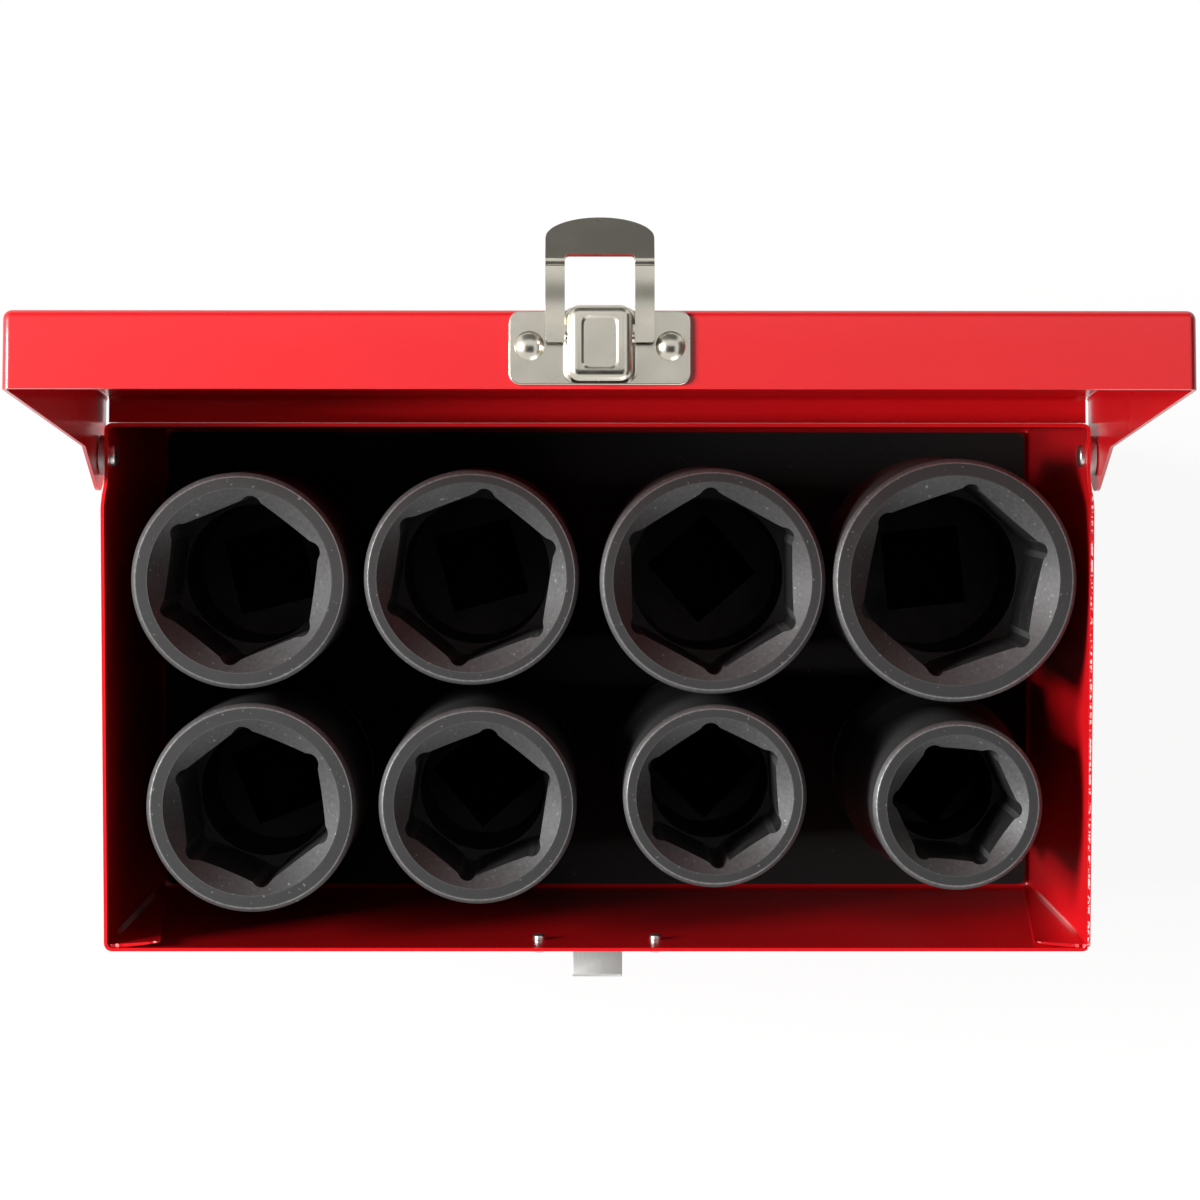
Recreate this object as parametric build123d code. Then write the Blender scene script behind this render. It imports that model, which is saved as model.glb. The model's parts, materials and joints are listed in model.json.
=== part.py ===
from build123d import *
import os
from math import cos, hypot, radians, sin, sqrt, tan

# Socket case: a folded steel tray with a hinged lid, a hasp latch and eight deep impact sockets.
# Millimetres. The origin is at the centre of the underside, X runs to the right, Y to the back and Z up.

# Sockets, back row: width across the flats of the hexagon, and wall outside its corners
back_1_flats = 33.3
back_1_wall = 5.2
back_2_flats = 34.9
back_2_wall = 4.1
back_3_flats = 36.5
back_3_wall = 4.4
back_4_flats = 38.1
back_4_wall = 5.5

# Sockets, front row
front_1_flats = 31.8
front_1_wall = 5.4
front_2_flats = 30.2
front_2_wall = 5.0
front_3_flats = 28.6
front_3_wall = 4.3
front_4_flats = 25.4
front_4_wall = 4.6

# How each socket stands: the turns of its hexagon and of its drive square, in degrees, and its shift from its
# place, across as a share of its own radius and along as a share of the room in its column
back_hex_angles = (-7.9, -9.0, 1.4, -10.9)
front_hex_angles = (7.5, -8.8, 3.8, 25.0)
back_drive_angles = (14.0, 15.0, 41.0, 6.0)
front_drive_angles = (22.0, 40.0, 45.0, -35.0)
back_across_shares = (0.0, 0.0, 0.0, 0.0)
front_across_shares = (0.1, 0.06, 0.03, 0.05)
back_along_shares = (-0.05, 0.14, -0.06, 0.0)
front_along_shares = (-0.2, 0.0, 0.6, 0.0)

# Sockets, sizes that all eight share
socket_length = 92.0
drive_square = 19.1
drive_depth = 24.0
drive_end_diameter = 44.0
drive_end_length = 42.0
drive_end_wall = 3.0
drive_taper_length = 5.0
hex_depth = 36.0
bore_step = 0.5
hex_relief_radius = 2.4
hex_relief_past = 0.1
mouth_wall_share = 0.3
mouth_slope = 45.0
nose_chamfer = 0.9
drive_end_chamfer = 1.5
ring_groove_width = 4.6
ring_groove_depth = 2.4
ring_groove_height = 12.0
pin_hole_diameter = 3.6

# Room around the sockets, from left to right and from back to front
left_room = 6.0
gap_1_to_2 = 3.6
gap_2_to_3 = 4.7
gap_3_to_4 = 1.7
right_room = 3.1
back_room = 7.1
row_gap = 1.5
front_room = 8.8

# Case body: sheet steel, folded and welded
sheet = 0.8
face_above_rim = 0.8
floor_bend = 1.6
corner_extra = 0.4
joggle_depth = 1.0
joggle_slope_length = 5.0
joggle_bend = 4.0
joggle_margin = 1.0
corner_tab_length = 12.0
corner_tab_drop = 0.6

# Floor mat
mat_thickness = 2.0
mat_clearance = 1.2
mat_corner = 2.0

# Lid, and how far past upright it leans when open
lid_gap = 0.8
lid_rise = 10.2
skirt_depth = 15.3
lid_bend = 1.8
flange_relief = 1.6
flange_relief_depth = 1.2
stop_gap = 0.3
lid_lean = 6.9

# Lid hinge: one shouldered rivet and one washer on each side
hinge_back = 7.3
hinge_drop = 4.8
hinge_shank = 4.5
hinge_head = 9.0
hinge_head_height = 2.0
hinge_tail = 7.0
hinge_tail_height = 1.3
washer_diameter = 9.0
ear_radius = 8.0
ear_run = 20.0
end_play = 0.3
running_clearance = 0.05

# Latch on the lid
plate_thickness = 0.8
plate_width = 34.6
plate_height = 14.1
plate_corner = 2.2
plate_drop = 0.5
rivet_pitch = 26.8
rivet_drop = 7.2
rivet_shank = 3.4
rivet_head = 5.8
rivet_head_height = 1.5
rivet_tail = 5.0
rivet_tail_height = 1.0
housing_width = 12.4
housing_height = 14.7
housing_rise = 4.0
housing_above = 0.8
housing_side_round = 2.2
housing_end_round = 1.2
panel_width = 7.0
panel_height = 10.4
panel_depth = 0.4
panel_corner = 1.2

# Latch loop: a stamped strip frame with a round crossbar and a finger tongue
crossbar_diameter = 2.2
crossbar_height = 1.6
crossbar_drop = 5.8
loop_thickness = 0.9
loop_side_clearance = 0.45
leg_width = 3.7
leg_end = 1.0
leg_corner = 0.95
loop_bend_at = 14.9
tongue_kick = 25.0
window_past_bend = 0.9
window_corner = 1.0
tongue_shoulder = 4.6
tongue_crown = 3.9
shoulder_round = 1.6

# Catch on the body's front wall
catch_clearance = 0.5
catch_height = 13.0
catch_rivet_below = 6.4
hook_clearance = 0.95
hook_overhang = 3.4
hook_pass = 0.4
hook_thickness = 1.0
hook_bend_share = 0.95
hook_lip = 0.7
lance_margin = 1.5

# How far every cut runs past the face that it starts from
overrun = 1.0


def across_corners(flats):
    """Width of a hexagon across its corners."""
    return flats / cos(radians(30))


# Places worked out from the sizes above
back_flats = (back_1_flats, back_2_flats, back_3_flats, back_4_flats)
back_walls = (back_1_wall, back_2_wall, back_3_wall, back_4_wall)
front_flats = (front_1_flats, front_2_flats, front_3_flats, front_4_flats)
front_walls = (front_1_wall, front_2_wall, front_3_wall, front_4_wall)
column_gaps = (gap_1_to_2, gap_2_to_3, gap_3_to_4)
columns = range(len(back_flats))
hex_turns = range(0, 360, 60)


def widest_radius(flats, wall):
    """Radius of the room that a socket takes up: its nose or its drive end, whichever is wider."""
    return max(across_corners(flats) / 2 + wall, drive_end_diameter / 2)


back_radii = [widest_radius(f, w) for f, w in zip(back_flats, back_walls)]
front_radii = [widest_radius(f, w) for f, w in zip(front_flats, front_walls)]
column_radii = [max(pair) for pair in zip(back_radii, front_radii)]
row_pitch = max(b + f for b, f in zip(back_radii, front_radii)) + row_gap

inner_width = left_room + 2 * sum(column_radii) + sum(column_gaps) + right_room
inner_depth = back_room + max(back_radii) + row_pitch + max(front_radii) + front_room
case_width = inner_width + 2 * sheet
case_depth = inner_depth + 2 * sheet
mat_top = sheet + mat_thickness
rim = mat_top + socket_length - face_above_rim

column_x = [-inner_width / 2 + left_room + column_radii[0]]
for i in columns[1:]:
    column_x.append(column_x[-1] + column_radii[i - 1] + column_gaps[i - 1] + column_radii[i])
back_row_y = inner_depth / 2 - back_room - max(back_radii)
front_row_y = back_row_y - row_pitch

back_face = case_depth / 2
front_face = -case_depth / 2
hinge_y = back_face - hinge_back
hinge_z = rim - hinge_drop
joggle_y = hinge_y - washer_diameter / 2 - joggle_margin
neck_half = case_width / 2 - joggle_depth

lid_half = case_width / 2 + lid_gap + sheet
lid_back = back_face + lid_gap + sheet
lid_front = front_face - lid_gap - sheet
lid_top = rim + lid_rise
skirt_edge = lid_top - skirt_depth
open_angle = 90 + lid_lean

# The flange's free edge meets the back wall when the lid is open, which sets how deep the flange is
lean = radians(lid_lean)
flange_reach = (hinge_back + stop_gap + (lid_back - hinge_y) * sin(lean)) / cos(lean)
flange_edge = hinge_z + flange_reach

plate_top = lid_top - plate_drop
plate_face = lid_front - plate_thickness
crossbar_y = plate_face - crossbar_height
crossbar_z = lid_top - crossbar_drop
window_half = housing_width / 2 + loop_side_clearance
loop_half = window_half + leg_width

catch_top = skirt_edge - catch_clearance
catch_face = front_face - plate_thickness
hook_half = window_half - hook_clearance

# The window's end swings past the hook's lip, so the hook follows from the loop's radius
kick = radians(tongue_kick)
window_inner_y = window_past_bend * sin(kick) + loop_thickness / 2 * cos(kick)
window_inner_z = loop_bend_at + window_past_bend * cos(kick) - loop_thickness / 2 * sin(kick)
window_radius = hypot(window_inner_y, window_inner_z)
hook_end_y = crossbar_y - hook_overhang
lip_bottom = crossbar_z - sqrt((window_radius - hook_pass) ** 2 - hook_overhang**2)
hook_under = lip_bottom + hook_lip


def block(x0, x1, y0, y1, z0, z1):
    """A box between two corners."""
    middle = ((x0 + x1) / 2, (y0 + y1) / 2, (z0 + z1) / 2)
    return Pos(*middle) * Box(x1 - x0, y1 - y0, z1 - z0)


def rod(start, direction, radius, length):
    """A cylinder from a point along a direction."""
    return Solid.make_cylinder(radius, length, Plane(origin=start, z_dir=direction))


def opened(shape):
    """A piece of the lid, turned from its closed place to its open one."""
    return shape.rotate(Axis((0, hinge_y, hinge_z), (1, 0, 0)), -open_angle)


def rivet(start, direction, shank, grip, head, head_height, tail, tail_height):
    """A domed rivet: start is under its head, direction points from the head into the work."""

    def dome(width, height):
        radius = (width**2 / 4 + height**2) / (2 * height)
        ball = Pos(0, 0, height - radius) * Sphere(radius)
        return ball & Pos(0, 0, height / 2) * Cylinder(width, height)

    body = Pos(0, 0, -grip / 2) * Cylinder(shank / 2, grip)
    body += dome(head, head_height)
    body += Pos(0, 0, -grip) * Rot(180, 0, 0) * dome(tail, tail_height)
    return Plane(origin=start, z_dir=[-d for d in direction]) * body


def tray_outline(inset, corner):
    """The tray from above, drawn in by inset. Its side walls step inwards beside the hinge."""
    half = case_width / 2 - inset
    neck = neck_half - inset
    depth = case_depth / 2 - inset
    step = joggle_y - joggle_slope_length
    right = [(half, -depth), (half, step), (neck, joggle_y), (neck, depth)]
    left = [(-x, y) for x, y in reversed(right)]
    face = make_face(Polyline(*right, *left, close=True))
    rows = face.vertices().group_by(Axis.Y)
    face = fillet(rows[1] + rows[2], joggle_bend)
    rows = face.vertices().group_by(Axis.Y)
    return fillet(rows[0] + rows[-1], corner)


def case_body():
    """The tray: floor, four walls, the side walls' tabs behind the front wall, and the rivet holes."""
    corner = floor_bend + corner_extra
    outside = extrude(tray_outline(0, corner), rim)
    outside = fillet(outside.faces().sort_by(Axis.Z)[0].edges(), floor_bend)
    inside = Pos(0, 0, sheet) * extrude(tray_outline(sheet, corner - sheet), rim)
    inside = fillet(inside.faces().sort_by(Axis.Z)[0].edges(), floor_bend - sheet)
    body = outside - inside
    tab_y = front_face + sheet
    tab_top = rim - corner_tab_drop
    tab_end = inner_width / 2 - corner_tab_length
    for x0, x1 in ((tab_end, inner_width / 2), (-inner_width / 2, -tab_end)):
        body += block(x0, x1, tab_y, tab_y + sheet, floor_bend, tab_top)
    hinge_hole = hinge_shank / 2 + running_clearance
    body -= rod((-case_width / 2, hinge_y, hinge_z), (1, 0, 0), hinge_hole, case_width)
    for x in (-rivet_pitch / 2, rivet_pitch / 2):
        start = (x, front_face - overrun, catch_top - catch_rivet_below)
        body -= rod(start, (0, 1, 0), rivet_shank / 2 + running_clearance, sheet + 2 * overrun)
    return body


def floor_mat():
    """The sheet that lines the floor."""
    return Pos(0, 0, sheet) * extrude(tray_outline(sheet + mat_clearance, mat_corner), mat_thickness)


def lid_shell():
    """The lid, modelled closed: panel, three skirts, back flange, hinge ears and the rivet holes."""

    def hood(inset, bottom, top):
        half, front, back = lid_half - inset, lid_front + inset, lid_back - inset
        corner = lid_bend + corner_extra - inset
        face = make_face(Polyline((-half, front), (half, front), (half, back), (-half, back), close=True))
        face = fillet(face.vertices().group_by(Axis.Y)[0], corner)
        solid = Pos(0, 0, bottom) * extrude(face, top - bottom)
        return fillet(solid.faces().sort_by(Axis.Z)[-1].edges(), lid_bend - inset)

    shell = hood(0, skirt_edge, lid_top) - hood(sheet, skirt_edge - overrun, lid_top - sheet)
    inner_half = lid_half - sheet
    inner_back = lid_back - sheet
    shell -= block(-inner_half, inner_half, inner_back, lid_back + overrun, skirt_edge - overrun, flange_edge)
    notch_y = lid_back - lid_bend - flange_relief_depth
    for x0, x1 in ((-inner_half, flange_relief - inner_half), (inner_half - flange_relief, inner_half)):
        shell -= block(x0, x1, notch_y, lid_back + overrun, skirt_edge - overrun, lid_top + overrun)
    root = skirt_edge - hinge_z + sheet
    lobe = make_hull([Circle(ear_radius).edge(), Line((-ear_run, root), (ear_radius, root))])
    for x in (-lid_half, inner_half):
        ear_side = Plane(origin=(x, hinge_y, hinge_z), x_dir=(0, 1, 0), z_dir=(1, 0, 0))
        shell += ear_side * extrude(lobe, sheet)
    hinge_hole = hinge_shank / 2 + running_clearance
    shell -= rod((-lid_half - overrun, hinge_y, hinge_z), (1, 0, 0), hinge_hole, 2 * (lid_half + overrun))
    for x in (-rivet_pitch / 2, rivet_pitch / 2):
        start = (x, lid_front - overrun, lid_top - rivet_drop)
        shell -= rod(start, (0, 1, 0), rivet_shank / 2 + running_clearance, sheet + 2 * overrun)
    return shell


def hinge_rivet(side):
    """The rivet that the lid turns on: its head is outside the lid's ear, its tail inside the tray."""
    under_head = lid_half + end_play
    grip = under_head - (neck_half - sheet)
    start = (side * under_head, hinge_y, hinge_z)
    return rivet(
        start, (-side, 0, 0), hinge_shank, grip, hinge_head, hinge_head_height, hinge_tail, hinge_tail_height
    )


def hinge_washer(side):
    """The washer that keeps the lid's ear off the tray's stepped wall."""
    thickness = lid_half - sheet - end_play - neck_half
    start = (side * neck_half, hinge_y, hinge_z)
    ring = rod(start, (side, 0, 0), washer_diameter / 2, thickness)
    return ring - rod(start, (side, 0, 0), hinge_shank / 2 + running_clearance, thickness)


def flat_plate(top, height, back):
    """A plate with rounded corners, upright on a front face."""
    face = Plane(origin=(0, back, top - height / 2), x_dir=(1, 0, 0), z_dir=(0, -1, 0))
    return face * extrude(RectangleRounded(plate_width, height, plate_corner), plate_thickness)


def latch_plate():
    """The lid's latch plate: a hollow housing that the crossbar turns in, with a sunk panel on its face."""
    plate = flat_plate(plate_top, plate_height, lid_front)
    for x in (-rivet_pitch / 2, rivet_pitch / 2):
        start = (x, lid_front, lid_top - rivet_drop)
        plate -= rod(start, (0, -1, 0), rivet_shank / 2 + running_clearance, plate_thickness)
    top = plate_top + housing_above
    bottom = top - housing_height
    half = housing_width / 2
    front = plate_face - housing_rise
    housing = block(-half, half, front, plate_face, bottom, top)
    face = housing.faces().sort_by(Axis.Y)[0]
    housing = fillet(face.edges().filter_by(Axis.Z), housing_side_round)
    face = housing.faces().sort_by(Axis.Y)[0]
    housing = fillet(face.edges().filter_by(Axis.X), housing_end_round)
    panel = Plane(origin=(0, front, (top + bottom) / 2), x_dir=(1, 0, 0), z_dir=(0, 1, 0))
    housing -= panel * extrude(RectangleRounded(panel_width, panel_height, panel_corner), panel_depth)
    room_half = half - plate_thickness
    room_front = front + housing_side_round
    room_top = plate_top - plate_thickness
    housing -= block(-room_half, room_half, room_front, plate_face, bottom - overrun, room_top)
    tunnel = crossbar_diameter / 2 + running_clearance
    housing -= rod((-housing_width, crossbar_y, crossbar_z), (1, 0, 0), tunnel, 2 * housing_width)
    return plate + housing


def latch_rivets():
    """Two rivets that hold the latch plate to the lid's front skirt."""
    grip = plate_thickness + sheet
    heads = [(x, plate_face, lid_top - rivet_drop) for x in (-rivet_pitch / 2, rivet_pitch / 2)]
    size = (rivet_shank, grip, rivet_head, rivet_head_height, rivet_tail, rivet_tail_height)
    return Compound([rivet(start, (0, 1, 0), *size) for start in heads])


def latch_loop():
    """The loop, modelled flipped up: crossbar, two legs, and the tongue that is kicked over past the bend."""
    bend_z = crossbar_z + loop_bend_at
    legs_back = (0, crossbar_y + loop_thickness / 2, crossbar_z)
    legs_plane = Plane(origin=legs_back, x_dir=(1, 0, 0), z_dir=(0, -1, 0))
    leg_length = loop_bend_at + leg_end
    leg = RectangleRounded(leg_width, 2 * leg_length, leg_corner)
    leg -= Pos(0, leg_length) * Rectangle(2 * leg_width, 2 * leg_length)
    loop = rod((-window_half - leg_width / 2, crossbar_y, crossbar_z), (1, 0, 0), crossbar_diameter / 2,
               2 * window_half + leg_width)
    for x in (-window_half - leg_width / 2, window_half + leg_width / 2):
        loop += legs_plane * Pos(x, leg_length - leg_end) * extrude(leg, loop_thickness)
    hem = tan(kick / 2) * loop_thickness / 2
    tongue_top = window_past_bend + tongue_shoulder
    outline = make_face([
        Line((-loop_half, -hem), (loop_half, -hem)),
        Line((loop_half, -hem), (loop_half, tongue_top)),
        ThreePointArc((loop_half, tongue_top), (0, tongue_top + tongue_crown), (-loop_half, tongue_top)),
        Line((-loop_half, tongue_top), (-loop_half, -hem)),
    ])
    shoulders = outline.vertices().sort_by(Axis.Y)[-2:]
    outline = fillet(shoulders, shoulder_round)
    right = [(window_half, -loop_bend_at), (window_half, window_past_bend)]
    left = [(-x, y) for x, y in reversed(right)]
    window = make_face(Polyline(*right, *left, close=True))
    outline -= fillet(window.vertices().sort_by(Axis.Y)[-2:], min(window_corner, window_past_bend))
    tongue = Pos(0, 0, -loop_thickness / 2) * extrude(outline, loop_thickness)
    turned = Plane(origin=(0, crossbar_y, bend_z), x_dir=(1, 0, 0), z_dir=(0, -1, 0))
    loop += turned * Rot(-tongue_kick, 0, 0) * tongue
    return loop


def catch_plate():
    """The catch on the front wall: a plate with a hook that is lanced and bent out of it."""
    plate = flat_plate(catch_top, catch_height, front_face)
    for x in (-rivet_pitch / 2, rivet_pitch / 2):
        start = (x, front_face, catch_top - catch_rivet_below)
        plate -= rod(start, (0, -1, 0), rivet_shank / 2 + running_clearance, plate_thickness)
    lance_bottom = catch_top - catch_height + lance_margin
    lance_front = catch_face - overrun
    plate -= block(-hook_half, hook_half, lance_front, front_face + overrun, lance_bottom, hook_under)
    hook = block(-hook_half, hook_half, hook_end_y, front_face, hook_under, hook_under + hook_thickness)
    top_edge = hook.edges().filter_by(Axis.X).sort_by(lambda e: e.center().Y - e.center().Z)[0]
    hook = fillet(top_edge, hook_thickness * hook_bend_share)
    hook += block(-hook_half, hook_half, hook_end_y, hook_end_y + hook_thickness, lip_bottom, hook_under)
    return plate + hook


def catch_rivets():
    """Two rivets that hold the catch plate to the front wall."""
    grip = plate_thickness + sheet
    heads = [(x, catch_face, catch_top - catch_rivet_below) for x in (-rivet_pitch / 2, rivet_pitch / 2)]
    size = (rivet_shank, grip, rivet_head, rivet_head_height, rivet_tail, rivet_tail_height)
    return Compound([rivet(start, (0, 1, 0), *size) for start in heads])


def socket(flats, wall, hex_angle, drive_angle):
    """A deep six-point impact socket standing on its drive end, with its axis on Z."""
    corner = across_corners(flats) / 2
    nose = corner + wall
    mouth = corner + wall * mouth_wall_share
    drive = drive_end_diameter / 2
    bore = min(flats - bore_step, drive_end_diameter - 2 * drive_end_wall) / 2
    profile = Polyline(
        (0, 0),
        (drive - drive_end_chamfer, 0),
        (drive, drive_end_chamfer),
        (drive, drive_end_length),
        (nose, drive_end_length + drive_taper_length),
        (nose, socket_length - nose_chamfer),
        (nose - nose_chamfer, socket_length),
        (0, socket_length),
        close=True,
    )
    body = revolve(make_face(Plane.XZ * profile), Axis.Z)
    groove = Cylinder(drive + overrun, ring_groove_width)
    groove -= Cylinder(drive - ring_groove_depth, ring_groove_width)
    body -= Pos(0, 0, ring_groove_height) * groove
    across = (cos(radians(drive_angle)), sin(radians(drive_angle)), 0)
    body -= rod((0, 0, ring_groove_height), across, pin_hole_diameter / 2, drive + overrun)
    square = Pos(0, 0, (drive_depth - overrun) / 2) * Box(drive_square, drive_square, drive_depth + overrun)
    body -= Rot(0, 0, drive_angle) * square
    hex_floor = socket_length - hex_depth
    bore_length = hex_floor - drive_depth + overrun
    body -= Pos(0, 0, drive_depth + bore_length / 2) * Cylinder(bore, bore_length)
    hexagon = RegularPolygon(corner, len(hex_turns))
    for turn in hex_turns:
        spot = corner + hex_relief_past - hex_relief_radius
        hexagon += Pos(spot * cos(radians(turn)), spot * sin(radians(turn))) * Circle(hex_relief_radius)
    recess = Pos(0, 0, hex_floor) * extrude(hexagon, hex_depth + overrun)
    body -= Rot(0, 0, 90 + hex_angle) * recess
    cone_height = (mouth - bore) * tan(radians(mouth_slope))
    body -= Pos(0, 0, socket_length - cone_height / 2) * Cone(bore, mouth, cone_height)
    return body


def socket_row(name, flats, walls, hex_angles, drive_angles, across_shares, along_shares, row_y):
    """The sockets of one row, each in its place on the mat."""
    row = {}
    for i in columns:
        radius = across_corners(flats[i]) / 2 + walls[i]
        room = row_pitch - back_radii[i] - front_radii[i]
        place = (column_x[i] + across_shares[i] * radius, row_y + along_shares[i] * room, mat_top)
        piece = socket(flats[i], walls[i], hex_angles[i], drive_angles[i])
        row[f"socket_{name}_{i + 1}"] = Pos(*place) * piece
    return row


pieces = {
    "case_body": case_body(),
    "floor_mat": floor_mat(),
    "hinge_rivet_left": hinge_rivet(-1),
    "hinge_rivet_right": hinge_rivet(1),
    "hinge_washer_left": hinge_washer(-1),
    "hinge_washer_right": hinge_washer(1),
    "catch_plate": catch_plate(),
    "catch_rivets": catch_rivets(),
    "lid_shell": opened(lid_shell()),
    "latch_plate": opened(latch_plate()),
    "latch_rivets": opened(latch_rivets()),
    "latch_loop": opened(latch_loop()),
}
pieces.update(socket_row("back", back_flats, back_walls, back_hex_angles, back_drive_angles,
                         back_across_shares, back_along_shares, back_row_y))
pieces.update(socket_row("front", front_flats, front_walls, front_hex_angles, front_drive_angles,
                         front_across_shares, front_along_shares, front_row_y))

os.makedirs("parts", exist_ok=True)
for node, piece in pieces.items():
    export_step(piece, f"parts/{node}.step")
    print(node, len(piece.solids()), round(piece.volume, 1))
print("case", round(case_width, 2), round(case_depth, 2), "rim", round(rim, 2))
print("hinge", round(hinge_y, 3), round(hinge_z, 3))
print("crossbar with the lid closed", round(crossbar_y, 3), round(crossbar_z, 3))
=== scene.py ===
"""A red steel socket case: hinged lid, hasp latch and deep impact sockets, dressed round its frame."""
import json
from math import acos, asin, atan2, cos, hypot, pi, radians, sin, sqrt

import bmesh
import bpy
from bpy.props import FloatProperty, FloatVectorProperty, IntProperty, PointerProperty
from mathutils import Matrix, Vector


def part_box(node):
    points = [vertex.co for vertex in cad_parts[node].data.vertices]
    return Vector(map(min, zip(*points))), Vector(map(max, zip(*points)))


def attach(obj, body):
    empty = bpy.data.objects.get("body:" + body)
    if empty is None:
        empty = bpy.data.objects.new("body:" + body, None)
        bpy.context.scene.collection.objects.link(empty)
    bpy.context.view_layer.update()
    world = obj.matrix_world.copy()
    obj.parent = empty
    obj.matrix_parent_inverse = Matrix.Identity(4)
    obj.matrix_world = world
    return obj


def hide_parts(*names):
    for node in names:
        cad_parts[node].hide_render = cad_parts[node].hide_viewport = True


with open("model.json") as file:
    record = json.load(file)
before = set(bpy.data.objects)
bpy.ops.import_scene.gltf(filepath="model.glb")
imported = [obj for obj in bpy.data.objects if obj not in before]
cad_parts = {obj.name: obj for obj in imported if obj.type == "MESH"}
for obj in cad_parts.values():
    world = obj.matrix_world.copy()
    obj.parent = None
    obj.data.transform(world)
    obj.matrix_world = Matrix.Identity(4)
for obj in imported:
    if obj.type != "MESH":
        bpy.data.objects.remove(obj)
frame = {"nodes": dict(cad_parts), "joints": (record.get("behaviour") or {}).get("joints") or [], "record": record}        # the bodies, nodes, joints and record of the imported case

bl_info = {
    "name": "Socket case",
    "version": (1, 0, 0),
    "blender": (4, 5, 0),
    "location": "3D View > Sidebar > Socket case",
    "description": "Models a steel socket case, its latch and its sockets",
    "category": "Add Mesh",
}

MM = 0.001
TOUCH = 0.01 * MM           # places nearer than this are the same
FACING = 0.9                # least part of a normal along the way that its face looks
STRAIGHT = 0.999            # the same for a face or an edge that is quite straight
LEANING = 0.05              # the same for a face that only leans that way
FOLDED = 1                  # least angle between the faces of a fold, in radians
FOLD_STEPS = 5              # facets across a fold of the sheet
BEND_STEPS = 3              # facets across a slight bend
CORNER_STEPS = 8            # facets across a rounded corner of the latch
TAB_BEAT = 5.3              # radians of a tab's second wave in one turn of its first
SIXTH = radians(60)         # a side of a hexagon, as an angle
NOISE_SPAN = (0.3, 0.7)     # nearly all of a noise lies between these
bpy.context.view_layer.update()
LID_HINGE = next(joint for joint in frame["joints"] if joint["name"] == "lid_hinge")
HINGE = Vector(LID_HINGE["pos_m"])
OPEN_ANGLE = radians(-LID_HINGE["range_deg"][0])

# Turns a piece of the closed lid about the hinge to where the lid stands open
OPENED = Matrix.Translation(HINGE) @ Matrix.Rotation(-OPEN_ANGLE, 4, "X") @ Matrix.Translation(-HINGE)

# Each socket: width across the flats and wall outside the corners in millimetres, turns of hexagon and square
SOCKETS = {
    "socket_back_1": (33.3, 5.2, -7.9, 14.0),
    "socket_back_2": (34.9, 4.1, -9.0, 15.0),
    "socket_back_3": (36.5, 4.4, 1.4, 41.0),
    "socket_back_4": (38.1, 5.5, -10.9, 6.0),
    "socket_front_1": (31.8, 5.4, 7.5, 22.0),
    "socket_front_2": (30.2, 5.0, -8.8, 40.0),
    "socket_front_3": (28.6, 4.3, 3.8, 45.0),
    "socket_front_4": (25.4, 4.6, 25.0, -35.0),
}

# What the lamps and cards of the stage face, in metres
TARGET = Vector((0, 0.02, 0.1))

# Each lamp: place and side in metres, and power in watts
LAMPS = {
    "key_from_left": ((-2.0, 0.24, 1.45), 0.9, 132),
    "fill_from_front": ((0.8, -1.9, 0.5), 1.2, 10),
}

# Each card: place and size in metres, and tone
CARDS = {
    "grey_flag_behind": ((0, 1.1, 0.55), (1.6, 0.9), 0.12),
    "dark_flag_above": ((0, -0.15, 1.3), (1.2, 0.9), 0.02),
    "dark_flag_right": ((1.2, 0, 0.55), (1.6, 0.9), 0.05),
}


def linear(hex_colour):
    """An sRGB hex colour as linear red, green and blue."""
    parts = [int(hex_colour[i:i + 2], 16) / 255 for i in (1, 3, 5)]
    return tuple(part / 12.92 if part <= 0.04045 else ((part + 0.055) / 1.055) ** 2.4 for part in parts)


def length(name, description, millimetres):
    """A length property, given in millimetres and kept in metres."""
    return FloatProperty(name=name, description=description, default=millimetres * MM, unit="LENGTH")


def colour(name, description, hex_colour):
    """A colour property, given as sRGB hex and kept as linear and opaque."""
    return FloatVectorProperty(
        name=name, description=description, default=(*linear(hex_colour), 1), size=4, min=0, max=1,
        subtype="COLOR"
    )


class TraySizes(bpy.types.PropertyGroup):
    """Sizes of the folded steel tray."""

    sheet: length("Sheet", "Thickness of the steel sheet", 0.8)
    fold: length("Fold", "Outer radius of the folds", 1.8)
    edge: length("Edge round", "Rounding that the paint gives a cut edge", 0.22)
    joggle: length("Joggle", "How far the side walls step in beside the hinge", 1.0)
    joggle_slope: length("Joggle slope", "Length of the step's slope", 5.0)
    joggle_margin: length("Joggle margin", "Flat wall in front of the hinge washer", 1.0)
    joggle_round: length("Joggle round", "Radius of the step's bends", 2.0)
    tab: length("Corner tab", "Length of the tabs behind the front wall", 12.0)
    tab_drop: length("Tab drop", "How far the tabs stop below the rim", 0.6)
    tab_wave: length("Tab wave", "How uneven the tabs' cut edge is", 0.3)
    wave_length: length("Wave length", "Length of the waves along the tabs' cut edge", 1.7)
    tab_lift: length("Tab lift", "How far the tabs' free corners stand off the front wall", 1.2)
    tab_edge: length("Tab edge", "Thickness that the tabs are sheared to at their free edge", 0.3)
    tab_foot: length("Tab foot", "Length of the tabs at the floor", 1.5)


class LidSizes(bpy.types.PropertyGroup):
    """Sizes of the folded steel lid."""

    gap: length("Gap", "Room between the lid's skirts and the tray", 0.8)
    rise: length("Rise", "Height of the closed lid above the rim", 10.2)
    skirt: length("Skirt", "Depth of the front and side skirts", 15.3)
    fold: length("Fold", "Outer radius of the folds", 1.8)
    flange: length("Flange", "Depth of the back flange", 6.52)
    relief: length("Relief", "Width of the slits beside the flange", 0.7)
    relief_depth: length("Relief depth", "How far the slits run in past the fold", 1.2)
    ear: length("Ear", "Radius of the hinge ears", 8.0)
    ear_run: length("Ear run", "How far in front of the hinge the ears start", 20.0)


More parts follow.
